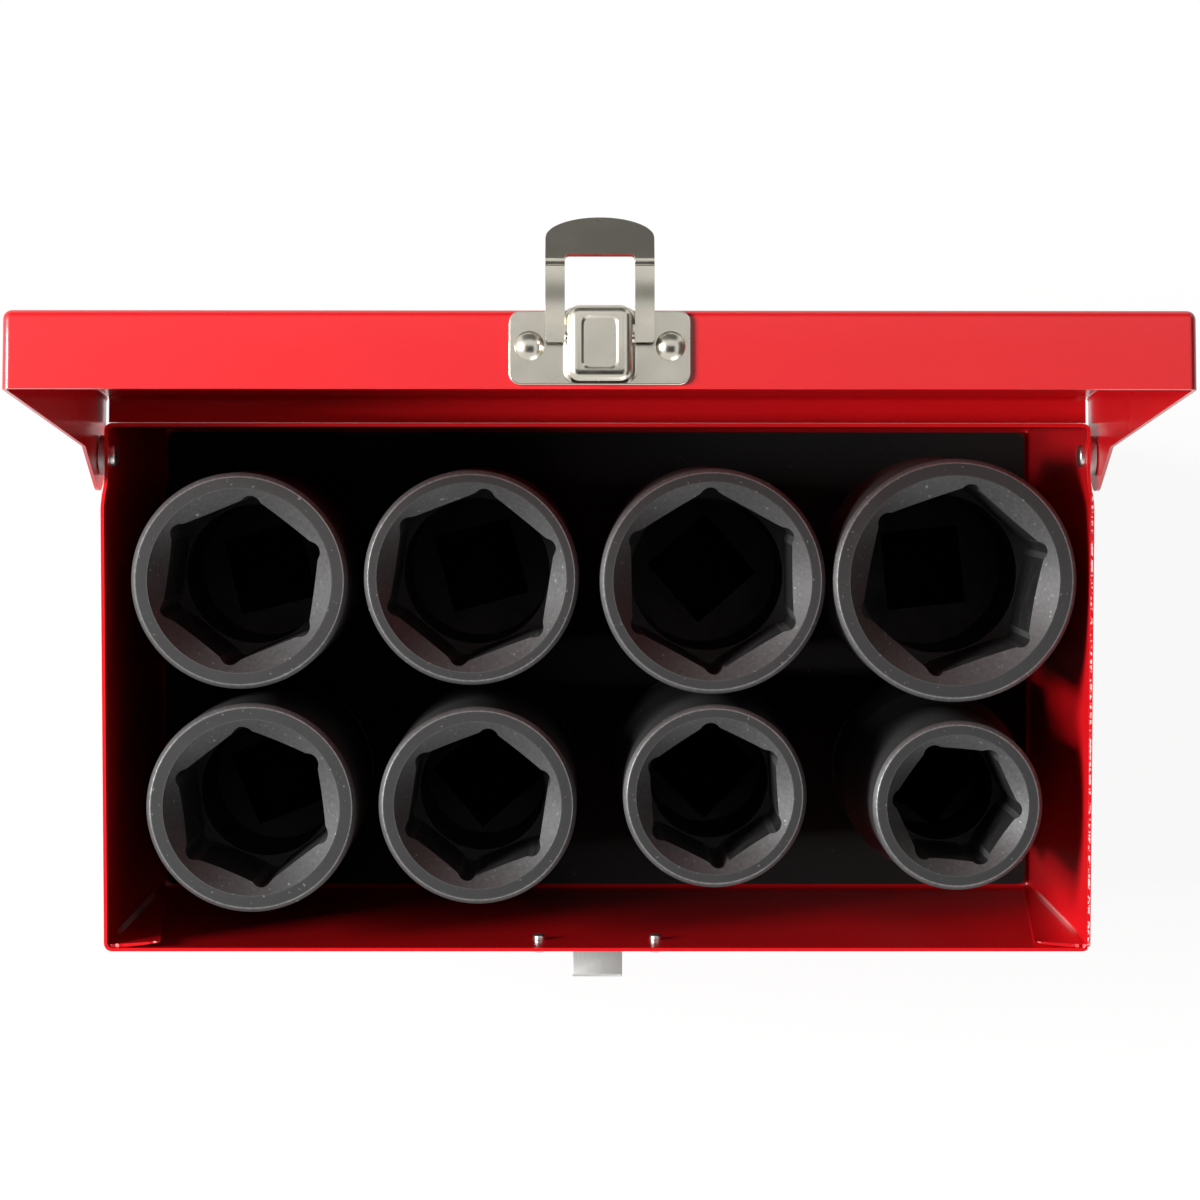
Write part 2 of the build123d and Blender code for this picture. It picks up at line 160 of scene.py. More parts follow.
class LatchSizes(bpy.types.PropertyGroup):
    """Sizes of the hasp latch."""

    plate: length("Plate", "Thickness of the plate", 0.8)
    plate_width: length("Plate width", "Width of the plate", 34.6)
    plate_height: length("Plate height", "Height of the plate", 14.1)
    plate_corner: length("Plate corner", "Radius of the plate's corners", 2.2)
    plate_drop: length("Plate drop", "Plate's edge below the top of the lid", 0.5)
    housing_width: length("Housing width", "Width of the raised housing", 12.4)
    housing_height: length("Housing height", "Height of the raised housing", 14.7)
    housing_rise: length("Housing rise", "How far the housing stands off the plate", 4.0)
    housing_above: length("Housing above", "How far the housing stands past the plate's edge", 0.8)
    housing_corner: length("Housing corner", "Radius of the housing's corners", 2.4)
    housing_round: length("Housing round", "Radius of the housing's pressed edges", 2.0)
    housing_flare: length("Housing flare", "How far the housing's foot flows out into the plate", 0.9)
    housing_roof: length("Housing roof", "Thickness of the housing above its hollow", 2.4)
    pad_width: length("Pad width", "Width of the pressed panel", 7.0)
    pad_height: length("Pad height", "Height of the pressed panel", 10.2)
    pad_depth: length("Pad depth", "Depth of the pressed panel", 0.4)
    pad_corner: length("Pad corner", "Radius of the panel's corners", 1.6)
    pad_slope: length("Pad slope", "Half the run of the panel's sloped walls", 0.45)
    strip: length("Strip", "Thickness of the loop", 0.9)
    leg: length("Leg", "Width of the loop's legs", 3.7)
    leg_end: length("Leg end", "Length of the legs past the crossbar", 1.0)
    foot: length("Foot", "Height of the legs' feet above the crossbar", 2.4)
    foot_gap: length("Foot gap", "Room between the housing and the legs' feet", 0.05)
    foot_corner: length("Foot corner", "Radius of the loop's outer corners", 0.9)
    wave: length("Wave", "How far the legs wave to and fro", 0.14)
    crease: length("Crease", "Depth of the crease below the bend", 0.12)
    crease_at: length("Crease at", "Distance of the crease below the bend", 1.1)
    window_corner: length("Window corner", "Radius of the window's corners", 0.8)
    side_gap: length("Side gap", "Room between the housing and the legs", 0.45)
    bend_at: length("Bend at", "Distance from the crossbar to the bend", 14.9)
    bend_round: length("Bend round", "Radius of the bend", 0.5)
    past_bend: length("Past bend", "How far the window runs past the bend", 0.9)
    shoulder: length("Shoulder", "Height of the tongue at its sides", 3.8)
    crown: length("Crown", "Height of the tongue's arch", 4.7)
    crossbar: length("Crossbar", "Diameter of the crossbar", 2.2)
    crossbar_height: length("Crossbar height", "Crossbar's axis in front of the plate", 1.6)
    crossbar_drop: length("Crossbar drop", "Crossbar's axis below the top of the lid", 5.8)
    catch_edge: length("Catch edge", "Rounding of the catch's edges", 0.18)
    plate_edge: length("Plate edge", "Rounding of the plate's edges", 0.3)
    housing_edge: length("Housing edge", "Rounding of the housing's cut edges", 0.25)
    loop_edge: length("Loop edge", "Rounding of the loop's and the crossbar's edges", 0.2)
    kick: FloatProperty(name="Kick", description="Bend of the tongue", default=radians(25), subtype="ANGLE")


class RivetSizes(bpy.types.PropertyGroup):
    """Sizes of the rivets."""

    shank: length("Shank", "Diameter of the latch and catch rivets' shanks", 3.4)
    head: length("Head", "Diameter of their heads", 5.8)
    head_height: length("Head height", "Height of their heads", 1.5)
    tail: length("Tail", "Diameter of their tails", 2.8)
    tail_height: length("Tail height", "Height of their tails", 1.2)
    pitch: length("Pitch", "Distance between the two rivets of a pair", 26.8)
    drop: length("Drop", "Latch rivets below the top of the lid", 7.2)
    hinge_shank: length("Hinge shank", "Diameter of the hinge rivets' shanks", 4.5)
    hinge_head: length("Hinge head", "Diameter of the hinge rivets' heads", 9.0)
    hinge_head_height: length("Hinge head height", "Height of the hinge rivets' heads", 2.0)
    hinge_tail: length("Hinge tail", "Diameter of the hinge rivets' tails", 5.2)
    hinge_tail_height: length("Hinge tail height", "Height of the hinge rivets' tails", 1.3)
    tail_round: length("Tail round", "Rounding of the peened tails", 0.6)
    edge: length("Edge round", "Rounding of the other edges", 0.12)


class SocketSizes(bpy.types.PropertyGroup):
    """Sizes that all the sockets share."""

    steps: IntProperty(name="Steps", description="Points round each socket", default=240, min=48, step=12)
    drive_square: length("Drive square", "Width of the drive square", 19.1)
    drive_depth: length("Drive depth", "Depth of the drive square", 24.0)
    drive_end: length("Drive end", "Diameter of the drive end", 44.0)
    drive_length: length("Drive length", "Length of the drive end", 42.0)
    drive_taper: length("Drive taper", "Length of the slope up to the nose", 5.0)
    drive_chamfer: length("Drive chamfer", "Chamfer of the foot", 1.5)
    hexagon_depth: length("Hexagon depth", "Depth of the hexagon", 36.0)
    bore_step: length("Bore step", "How much the bore is narrower than the flats", 0.5)
    relief: length("Corner relief", "Radius of the relief in the hexagon's corners", 2.4)
    relief_past: length("Relief past", "How far the relief runs past the corners", 0.1)
    nose_chamfer: length("Nose chamfer", "Chamfer of the nose", 0.9)
    groove_width: length("Groove width", "Width of the ring groove", 4.6)
    groove_depth: length("Groove depth", "Depth of the ring groove", 2.4)
    groove_height: length("Groove height", "Height of the ring groove's middle", 12.0)
    pin_hole: length("Pin hole", "Diameter of the pin hole", 3.6)
    edge: length("Edge round", "Rounding of the edges", 0.2)
    wear: length("Wear", "Width of the rubbed band along the nose's edge", 0.3)
    mouth_share: FloatProperty(
        name="Mouth share", description="Share of the wall taken by the mouth", default=0.3, subtype="FACTOR"
    )


class Finishes(bpy.types.PropertyGroup):
    """Colours of the finishes."""

    red: colour("Red enamel", "Paint on the tray and lid", "#d9141c")
    # Also the colour of the painted highlight along the tray's front corner folds
    bare: colour("Bare edge", "Steel and primer where the paint has chipped", "#f0d8d6")
    nickel: colour("Nickel", "Plating on the latch, catch and rivets", "#cfcabc")
    zinc: colour("Zinc", "Plating on the rivets, washers and catch", "#dcdcd8")
    phosphate: colour("Phosphate", "Black finish of the sockets", "#383838")
    worn: colour("Worn phosphate", "Rubbed edges of the sockets", "#a4a4a4")
    pale: colour("Pale phosphate", "Scuffed mouths of the sockets", "#4c4c4c")
    mat: colour("Mat", "Foam mat on the floor", "#1c1c1c")
    lint: colour("Lint", "Dust on the mat", "#4a4a48")
    floor: colour("Floor", "Floor that the case stands on", "#f4f4f2")


# Modelling by hand


def add_shape(name, kind, **settings):
    """Add a mesh primitive as a new piece, with its place and turn applied."""
    bpy.ops.object.select_all(action="DESELECT")
    getattr(bpy.ops.mesh, f"primitive_{kind}_add")(**settings)
    piece = bpy.context.object
    piece.name = piece.data.name = name
    bpy.ops.object.transform_apply(location=True, rotation=True)
    return piece


def start_block(name, low, high):
    """A new cube between two corners, left in edit mode."""
    low, high = Vector(low), Vector(high)
    centre = (low + high) / 2
    piece = add_shape(name, "cube", size=1, location=centre)
    bpy.ops.object.mode_set(mode="EDIT")
    bpy.ops.mesh.select_all(action="SELECT")
    bpy.ops.transform.resize(value=high - low, center_override=centre)
    return piece


def pick(kind, test):
    """Select the vertices, edges or faces of the mesh being edited that pass a test."""
    mesh = bpy.context.object.data
    bpy.ops.mesh.select_mode(type=kind)
    bpy.ops.mesh.select_all(action="DESELECT")
    shape = bmesh.from_edit_mesh(mesh)
    shape.normal_update()
    parts = {"VERT": shape.verts, "EDGE": shape.edges, "FACE": shape.faces}[kind]
    for part in [part for part in parts if test(part)]:
        part.select_set(True)
    shape.select_flush_mode()
    bmesh.update_edit_mesh(mesh)


def place_picked(rule):
    """Put each selected vertex of the mesh being edited where a rule says, from where it is."""
    mesh = bpy.context.object.data
    shape = bmesh.from_edit_mesh(mesh)
    for vertex in shape.verts:
        if vertex.select:
            vertex.co = rule(vertex.co)
    bmesh.update_edit_mesh(mesh)


def cut(axis, at, test=lambda face: True):
    """Cut the faces that pass a test across X, Y or Z (0, 1 or 2) at a place, and keep both sides."""
    pick("FACE", test)
    across = Vector((axis == 0, axis == 1, axis == 2))
    bpy.ops.mesh.bisect(plane_co=at * across, plane_no=across)


def delete_faces(test):
    """Delete the faces that pass a test."""
    pick("FACE", test)
    bpy.ops.mesh.delete(type="FACE")


def round_edges(test, radius, segments):
    """Bevel the edges that pass a test."""
    pick("EDGE", test)
    bpy.ops.mesh.bevel(offset=radius, segments=segments, affect="EDGES", clamp_overlap=True)


def runs_along(edge, axis):
    """Whether an edge runs along X, Y or Z (0, 1 or 2)."""
    line = edge.verts[1].co - edge.verts[0].co
    return abs(line[axis]) > STRAIGHT * line.length


def near(a, b):
    """Whether two places are the same."""
    return abs(a - b) < TOUCH


def middle(edge):
    """The middle of an edge."""
    return (edge.verts[0].co + edge.verts[1].co) / 2


def apply_modifier(piece, kind, **settings):
    """Add a modifier to a piece in object mode and apply it."""
    bpy.context.view_layer.objects.active = piece
    modifier = piece.modifiers.new(kind.title(), kind)
    for key, value in settings.items():
        setattr(modifier, key, value)
    bpy.ops.object.modifier_apply(modifier=modifier.name)


def choose(*pieces):
    """Select only these pieces, in object mode, with the first one active."""
    bpy.ops.object.select_all(action="DESELECT")
    for piece in pieces:
        piece.select_set(True)
    bpy.context.view_layer.objects.active = pieces[0]


def soften(piece, width, segments=2, angle=40):
    """Round every sharp edge of a piece, and shade it smooth with its flats kept flat."""
    choose(piece)
    bpy.ops.object.shade_smooth()
    apply_modifier(
        piece, "BEVEL", width=width, segments=segments, limit_method="ANGLE", angle_limit=radians(angle),
        harden_normals=True
    )


def carve(piece, tool):
    """Cut a tool out of a piece, and throw the tool away."""
    apply_modifier(piece, "BOOLEAN", operation="DIFFERENCE", object=tool)
    bpy.data.objects.remove(tool)


def join(*pieces):
    """Join pieces into the first one."""
    choose(*pieces)
    bpy.ops.object.join()


def draw_rings(centre, rings):
    """Draw the selected circle on, ring by ring: each is a radius and height, or gives them for an angle."""
    for ring in rings:
        bpy.ops.mesh.extrude_region_move()

        def on_ring(place):
            """The point of this ring in the same direction from the axis."""
            angle = atan2(place.y - centre.y, place.x - centre.x)
            radius, height = ring(angle) if callable(ring) else ring
            return centre.x + radius * cos(angle), centre.y + radius * sin(angle), centre.z + height

        place_picked(on_ring)


def face_outward():
    """Turn the faces of the mesh being edited outward, and leave edit mode."""
    bpy.ops.mesh.select_all(action="SELECT")
    bpy.ops.mesh.normals_make_consistent(inside=False)
    bpy.ops.object.mode_set(mode="OBJECT")


def dress(piece, material):
    """Give a piece its only material."""
    piece.data.materials.clear()
    piece.data.materials.append(material)


def finish_piece(piece, node, material):
    """Give a piece its material, and let it stand for its node and ride on the node's body."""
    dress(piece, material)
    bodies = frame["record"]["behaviour"]["bodies"]
    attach(piece, next(body for body, nodes in bodies.items() if node in nodes))
    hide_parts(node)


def softened_copy(node, name, width):
    """A copy of a node with its edges rounded."""
    piece = bpy.data.objects.new(name, frame["nodes"][node].data.copy())
    bpy.context.scene.collection.objects.link(piece)
    piece.data.name = name
    choose(piece)
    bpy.ops.object.mode_set(mode="EDIT")
    bpy.ops.mesh.select_all(action="SELECT")
    bpy.ops.mesh.remove_doubles(threshold=TOUCH / 5)
    bpy.ops.mesh.dissolve_limited(angle_limit=radians(1))
    bpy.ops.object.mode_set(mode="OBJECT")
    soften(piece, width)
    return piece


def lid_front(scene):
    """Where the closed lid's front skirt stands along Y, and the lid's top along Z."""
    low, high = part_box("case_body")
    return low.y - scene.case_lid.gap - scene.case_tray.sheet, high.z + scene.case_lid.rise


# Materials


def set_inputs(node, inputs):
    """Set a node's inputs, by name or in order, to values, or link them to sockets or nodes."""
    for key, value in inputs.items() if isinstance(inputs, dict) else enumerate(inputs):
        if isinstance(value, bpy.types.Node):
            value = next(output for output in value.outputs if output.enabled)
        if isinstance(value, bpy.types.NodeSocket):
            node.id_data.links.new(value, node.inputs[key])
        else:
            node.inputs[key].default_value = value


def add_node(tree, kind, inputs=(), **settings):
    """Add a shader node with its settings, and set or link its inputs."""
    node = tree.nodes.new("ShaderNode" + kind)
    for key, value in settings.items():
        setattr(node, key, value)
    set_inputs(node, inputs)
    return node


def empty_tree(owner):
    """The node tree of a material or a world, with nothing in it."""
    owner.use_nodes = True
    owner.node_tree.nodes.clear()
    return owner.node_tree


def start_material(name):
    """A new material: its node tree, its shader and the place that its patterns are measured from."""
    material = bpy.data.materials.new(name)
    tree = empty_tree(material)
    shader = add_node(tree, "BsdfPrincipled")
    add_node(tree, "OutputMaterial", {"Surface": shader})
    place = add_node(tree, "TexCoord").outputs["Object"]
    return material, tree, shader, place


def per_metre(millimetres):
    """The texture scale of a pattern whose features are that large."""
    return 1 / (millimetres * MM)


def dimmed(tone, share):
    """A colour at a share of its brightness."""
    return (*(share * part for part in tone[:3]), 1)


def red_enamel(finishes):
    """Gloss enamel on sheet steel: faint orange peel, chips on the right rim, and a painted highlight along
    the inside folds of the front corners.
    """
    material, tree, shader, place = start_material("gloss_red_enamel")
    low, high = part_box("case_body")
    sheet = bpy.context.scene.case_tray.sheet
    chip_inset, chip_reach, chip_drop = 0.45 * MM, 0.2 * MM, 0.4 * MM
    highlight_inset, highlight_reach = 0.4 * MM, 0.5 * MM
    cloud = add_node(tree, "TexNoise", {"Vector": place, "Scale": per_metre(45), "Detail": 4})
    deep = dimmed(finishes.red, 0.9)
    tone = add_node(tree, "Mix", {"Factor": cloud, "A": finishes.red, "B": deep}, data_type="RGBA")
    x, y, z = add_node(tree, "SeparateXYZ", [place]).outputs
    across = add_node(tree, "Math", [x], operation="ABSOLUTE")
    # Strips on either side of a plane: two meet on the right rim's edge for the chips, and two in the front
    # corners for the painted highlight along the folds
    bands = (
        (x, high.x - chip_inset, chip_reach),
        (z, high.z, chip_drop),
        (across, high.x - sheet - highlight_inset, highlight_reach),
        (y, low.y + 2 * sheet + highlight_inset, highlight_reach),
    )
    beside, above, side, front = [add_node(tree, "Math", band, operation="COMPARE") for band in bands]
    chip = add_node(tree, "TexNoise", {"Vector": place, "Scale": per_metre(0.7), "Detail": 2})
    dots = add_node(tree, "Math", (chip, 0.53), operation="GREATER_THAN")
    # The painted highlight along the front corner folds fades out above and below mid height
    upward = add_node(tree, "Math", (z, high.z / 2), operation="SUBTRACT")
    away = add_node(tree, "Math", [upward], operation="ABSOLUTE")
    highlight_height_fade = add_node(tree, "MapRange", (away, 0.2 * high.z, 0.36 * high.z, 1, 0))
    # The painted highlight is stronger at the left fold than at the right
    share = add_node(tree, "MapRange", (x, low.x, high.x, 0.95, 0.25))
    chipped = beside
    for mask in (above, dots):
        chipped = add_node(tree, "Math", (chipped, mask), operation="MULTIPLY")
    # Mask of the painted highlight along the inside folds of the front corners
    thin = side
    for mask in (front, highlight_height_fade, share):
        thin = add_node(tree, "Math", (thin, mask), operation="MULTIPLY")
    # Chips show the bare colour, and the painted highlight turns the paint toward it as well
    through = add_node(tree, "Math", (chipped, thin), operation="MAXIMUM")
    chipped_and_highlit = add_node(tree, "Mix", {"Factor": through, "A": tone, "B": finishes.bare}, data_type="RGBA")
    peel = add_node(tree, "TexNoise", {"Vector": place, "Scale": per_metre(1.6), "Detail": 1})
    bump = add_node(tree, "Bump", {"Height": peel, "Strength": 0.03, "Distance": 0.05 * MM})
    set_inputs(shader, {"Base Color": chipped_and_highlit, "Normal": bump, "Roughness": 0.27, "IOR": 1.5})
    set_inputs(shader, {"Coat Weight": 0.3, "Coat Roughness": 0.12})
    return material


def nickel_plate(finishes):
    """Bright nickel on pressed steel: a warm mirror, a little hazed by handling."""
    material, tree, shader, place = start_material("bright_nickel_plate")
    smudge = add_node(tree, "TexNoise", {"Vector": place, "Scale": per_metre(6), "Detail": 4})
    dull = dimmed(finishes.nickel, 0.86)
    tone = add_node(tree, "Mix", {"Factor": smudge, "A": finishes.nickel, "B": dull}, data_type="RGBA")
    rough = add_node(tree, "MapRange", (smudge, *NOISE_SPAN, 0.2, 0.28))
    set_inputs(shader, {"Base Color": tone, "Metallic": 1, "Roughness": rough})
    return material


def zinc_plate(finishes):
    """Zinc-plated soft steel: a pale satin grey, dulled where the rivets were peened."""
    material, tree, shader, place = start_material("satin_zinc_plate")
    dent = add_node(tree, "TexNoise", {"Vector": place, "Scale": per_metre(1.5), "Detail": 3})
    dull = dimmed(finishes.zinc, 0.75)
    tone = add_node(tree, "Mix", {"Factor": dent, "A": finishes.zinc, "B": dull}, data_type="RGBA")
    bump = add_node(tree, "Bump", {"Height": dent, "Strength": 0.2, "Distance": 0.1 * MM})
    set_inputs(shader, {"Base Color": tone, "Metallic": 1, "Roughness": 0.32, "Normal": bump})
    return material


def rolled_steel(finishes):
    """Zinc-plated strip as it left the rollers: a dull, even grey with faint lines along the strip."""
    material, tree, shader, place = start_material("rolled_zinc_strip")
    # The lines are finer in fact, and are drawn as wide as they need to show
    stretch = (per_metre(0.3), per_metre(8), per_metre(8))
    along = add_node(tree, "Mapping", {"Vector": place, "Scale": stretch})
    lines = add_node(tree, "TexNoise", {"Vector": along, "Scale": 1, "Detail": 3})
    pale, dull = dimmed(finishes.zinc, 0.74), dimmed(finishes.zinc, 0.58)
    tone = add_node(tree, "Mix", {"Factor": lines, "A": pale, "B": dull}, data_type="RGBA")
    rough = add_node(tree, "MapRange", (lines, *NOISE_SPAN, 0.5, 0.6))
    set_inputs(shader, {"Base Color": tone, "Metallic": 1, "Roughness": rough})
    return material


def black_phosphate(finishes):
    """Phosphated, oiled forged steel: matt charcoal with fine grain, bare specks and rubbed bright edges."""
    material, tree, shader, place = start_material("black_phosphate_steel")
    cloud = add_node(tree, "TexNoise", {"Vector": place, "Scale": per_metre(7), "Detail": 4})
    dark = dimmed(finishes.phosphate, 0.7)
    tone = add_node(tree, "Mix", {"Factor": cloud, "A": dark, "B": finishes.phosphate}, data_type="RGBA")
    # The crystals are far finer in fact, and are drawn as coarse as they need to show
    grain = add_node(tree, "TexNoise", {"Vector": place, "Scale": per_metre(0.9), "Detail": 4})
    patch = add_node(tree, "MapRange", (grain, *NOISE_SPAN, 0.4, 1))
    marks = [add_node(tree, "Attribute", attribute_name=name).outputs["Fac"] for name in ("wear", "mouth")]
    rubbed, scuff = [add_node(tree, "Math", (mark, patch), operation="MULTIPLY") for mark in marks]
    scuffed = add_node(tree, "Mix", {"Factor": scuff, "A": tone, "B": finishes.pale}, data_type="RGBA")
    speck = add_node(tree, "MapRange", (grain, 0.68, 0.74, 0, 0.7))
    bare = add_node(tree, "Math", (rubbed, speck), operation="MAXIMUM")
    skin = add_node(tree, "Mix", {"Factor": bare, "A": scuffed, "B": finishes.worn}, data_type="RGBA")
    metal = add_node(tree, "MapRange", (bare, 0, 1, 0.3, 1))
    rough = add_node(tree, "MapRange", (bare, 0, 1, 0.48, 0.34))
    bump = add_node(tree, "Bump", {"Height": grain, "Strength": 0.25, "Distance": 0.06 * MM})
    set_inputs(shader, {"Base Color": skin, "Metallic": metal, "Roughness": rough, "Normal": bump})
    return material


def bore_painted_shade(finishes):
    """The same steel inside the hexagon and bore, darkened to near black as painted shade deep in the bore,
    and never rubbed.
    """
    material, tree, shader, place = start_material("black_bore_painted_shade")
    cloud = add_node(tree, "TexNoise", {"Vector": place, "Scale": per_metre(4), "Detail": 3})
    rough = add_node(tree, "MapRange", (cloud, *NOISE_SPAN, 0.4, 0.6))
    # A fifth of the phosphate's brightness: painted shade inside the bore
    set_inputs(shader, {"Base Color": dimmed(finishes.phosphate, 0.2), "Roughness": rough})
    return material


def foam_mat(finishes):
    """Closed-cell foam: a dull black sheet with tiny pores and pale lint."""
    material, tree, shader, place = start_material("black_foam_mat")
    pores = add_node(tree, "TexNoise", {"Vector": place, "Scale": per_metre(0.7), "Detail": 3})
    lint = add_node(tree, "TexNoise", {"Vector": place, "Scale": per_metre(2.2), "Detail": 5})
    mask = add_node(tree, "MapRange", (lint, 0.68, 0.76, 0, 0.6))
    tone = add_node(tree, "Mix", {"Factor": mask, "A": finishes.mat, "B": finishes.lint}, data_type="RGBA")
    bump = add_node(tree, "Bump", {"Height": pores, "Strength": 0.4, "Distance": 0.2 * MM})
    set_inputs(shader, {"Base Color": tone, "Roughness": 0.9, "Normal": bump})
    return material


MATERIALS = {}


def finish(scene, maker):
    """The material that a maker gives, made once."""
    if maker not in MATERIALS:
        MATERIALS[maker] = maker(scene.case_finishes)
    return MATERIALS[maker]


# The pieces


def fold_tab(sizes, low, high, side):
    """One tab of a side wall, folded in behind the front wall, with an uneven cut edge."""
    inner, back, top = high.x - sizes.sheet, low.y + sizes.sheet, high.z - sizes.tab_drop
    start, end = sorted((side * inner, side * (inner - sizes.tab)))
    tab = start_block(f"corner_tab_{side}", (start, back, sizes.fold), (end, back + sizes.sheet, top))
    columns = 14
    for i in range(1, columns):
        cut(0, start + i * sizes.tab / columns)
    pick("VERT", lambda vertex: near(vertex.co.z, top))

    def wave(place):
        """Two waves of nearly the same length along the cut edge."""
        turns = place.x / sizes.wave_length
        return place.x, place.y, place.z + sizes.tab_wave * (sin(2 * pi * turns) + sin(TAB_BEAT * turns)) / 2

    place_picked(wave)

    def sprung(place):
        """Sheared to a wedge, thinner at the free edge, and sprung off the front wall at its top."""
        share = (inner - abs(place.x)) / sizes.tab
        height = (place.z - sizes.fold) / (top - sizes.fold)
        run = share * (sizes.tab_foot + (sizes.tab - sizes.tab_foot) * height)
        thin = (sizes.sheet - sizes.tab_edge) * share ** 3 if near(place.y, back + sizes.sheet) else 0
        return side * (inner - run), place.y - thin + sizes.tab_lift * height * share ** 2, place.z

    bpy.ops.mesh.select_all(action="SELECT")
    place_picked(sprung)
    bpy.ops.object.mode_set(mode="OBJECT")
    soften(tab, sizes.edge / 2)
    return tab


class CASE_OT_tray(bpy.types.Operator):
    """Fold the tray from a block: open its top, step its sides in at the hinge and round its folds"""

    bl_idname = "socket_case.tray"
    bl_label = "Tray"

    def execute(self, context):
        sizes = context.scene.case_tray
        low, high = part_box("case_body")
        tray = start_block("tray_shell", low, high)
        delete_faces(lambda face: face.normal.z > FACING)
        step_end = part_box("hinge_washer_left")[0].y - sizes.joggle_margin
        steps = (step_end - sizes.joggle_slope, step_end)
        for y in steps:
            cut(1, y)
        for side in (-1, 1):
            pick("VERT", lambda vertex: vertex.co.x * side > 0 and vertex.co.y > step_end - TOUCH)
            bpy.ops.transform.translate(value=(-side * sizes.joggle, 0, 0))
        upright = ((steps, sizes.joggle_round, BEND_STEPS), ((low.y, high.y), sizes.fold, FOLD_STEPS))
        for places, radius, segments in upright:
            round_edges(
                lambda edge: runs_along(edge, 2) and any(near(middle(edge).y, y) for y in places),
                radius, segments
            )
        round_edges(
            lambda edge: near(middle(edge).z, low.z) and edge.calc_face_angle(0) > FOLDED,
            sizes.fold, FOLD_STEPS
        )
        bpy.ops.object.mode_set(mode="OBJECT")
        apply_modifier(tray, "SOLIDIFY", thickness=sizes.sheet, offset=-1, use_even_offset=True)
        tabs = [fold_tab(sizes, low, high, side) for side in (-1, 1)]
        soften(tray, sizes.edge)
        join(tray, *tabs)
        finish_piece(tray, "case_body", finish(context.scene, red_enamel))
        return {"FINISHED"}


def cut_slits(sizes, sheet, half, back):
    """Cut the slits that part the flange from the side skirts."""
    outer, inner = half - sheet, half - sheet - sizes.relief
    start = back - sizes.fold - sizes.relief_depth
    for x in (-outer, -inner, outer, inner):
        cut(0, x)
    cut(1, start)

    def in_slit(face):
        """Whether a face lies in a slit, or beside it on the fold at the back."""
        centre = face.calc_center_median()
        in_back = centre.y > back - sizes.fold and face.normal.y > LEANING
        return centre.y > start and inner < abs(centre.x) and (abs(centre.x) < outer or in_back)

    delete_faces(in_slit)


def draw_ear(sizes, x, skirt_edge):
    """Draw one hinge ear down from the side skirt: a straight run that meets a round end."""
    start, end = HINGE.y - sizes.ear_run, HINGE.y + sizes.ear
    for y in (start, end):
        cut(1, y)

    def on_edge(place):
        """Whether a place lies on the skirt's lower edge, within the ear."""
        return near(place.x, x) and near(place.z, skirt_edge) and start < place.y < end - TOUCH

    pick("EDGE", lambda edge: on_edge(middle(edge)))
    points = 25
    bpy.ops.mesh.subdivide(number_cuts=points - 2)
    drop = HINGE.z - skirt_edge
    tangent = pi + atan2(-drop, sizes.ear_run) + acos(sizes.ear / hypot(sizes.ear_run, drop))
    turn = (2 * pi - tangent) / (points - 2)
    turns = [tangent + turn * i for i in range(points - 1)]
    places = [start] + [HINGE.y + sizes.ear * cos(angle) for angle in turns]
    heights = [skirt_edge] + [HINGE.z + sizes.ear * sin(angle) for angle in turns[:-1]] + [skirt_edge]

    def order(place):
        """Which of the evenly spread points a place is."""
        return round((place.y - start) / (end - start) * (points - 1))

    bpy.ops.mesh.extrude_region_move()
    place_picked(lambda place: (place.x, places[order(place)], heights[order(place)]))
    pick("VERT", lambda vertex: on_edge(vertex.co))
    place_picked(lambda place: (place.x, places[order(place)], place.z))
    bpy.ops.mesh.select_all(action="SELECT")
    bpy.ops.mesh.remove_doubles(threshold=TOUCH)


class CASE_OT_lid(bpy.types.Operator):
    """Fold the lid from a block, closed: skirts, flange, slits and hinge ears, then a wall, and open it"""

    bl_idname = "socket_case.lid"
    bl_label = "Lid"

    def execute(self, context):
        sizes, tray = context.scene.case_lid, context.scene.case_tray
        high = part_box("case_body")[1]
        front, top = lid_front(context.scene)
        half, back = high.x + sizes.gap + tray.sheet, high.y + sizes.gap + tray.sheet
        skirt_edge, flange_edge = top - sizes.skirt, top - sizes.flange
        lid = start_block("lid_shell_folded", (-half, front, skirt_edge), (half, back, top))
        delete_faces(lambda face: face.normal.z < -FACING)
        cut(2, flange_edge)
        delete_faces(lambda face: face.normal.y > FACING and face.calc_center_median().z < flange_edge)
        round_edges(
            lambda edge: near(middle(edge).z, top) or (runs_along(edge, 2) and near(middle(edge).y, front)),
            sizes.fold, FOLD_STEPS
        )
        cut_slits(sizes, tray.sheet, half, back)
        for side in (-1, 1):
            draw_ear(sizes, side * half, skirt_edge)
        bpy.ops.object.mode_set(mode="OBJECT")
        apply_modifier(lid, "SOLIDIFY", thickness=tray.sheet, offset=-1, use_even_offset=True)
        soften(lid, tray.edge)
        lid.data.transform(OPENED)
        finish_piece(lid, "lid_shell", finish(context.scene, red_enamel))
        return {"FINISHED"}


class CASE_OT_mat(bpy.types.Operator):
    """Finish the floor mat"""

    bl_idname = "socket_case.mat"
    bl_label = "Floor mat"

    def execute(self, context):
        dress(frame["nodes"]["floor_mat"], finish(context.scene, foam_mat))
        return {"FINISHED"}


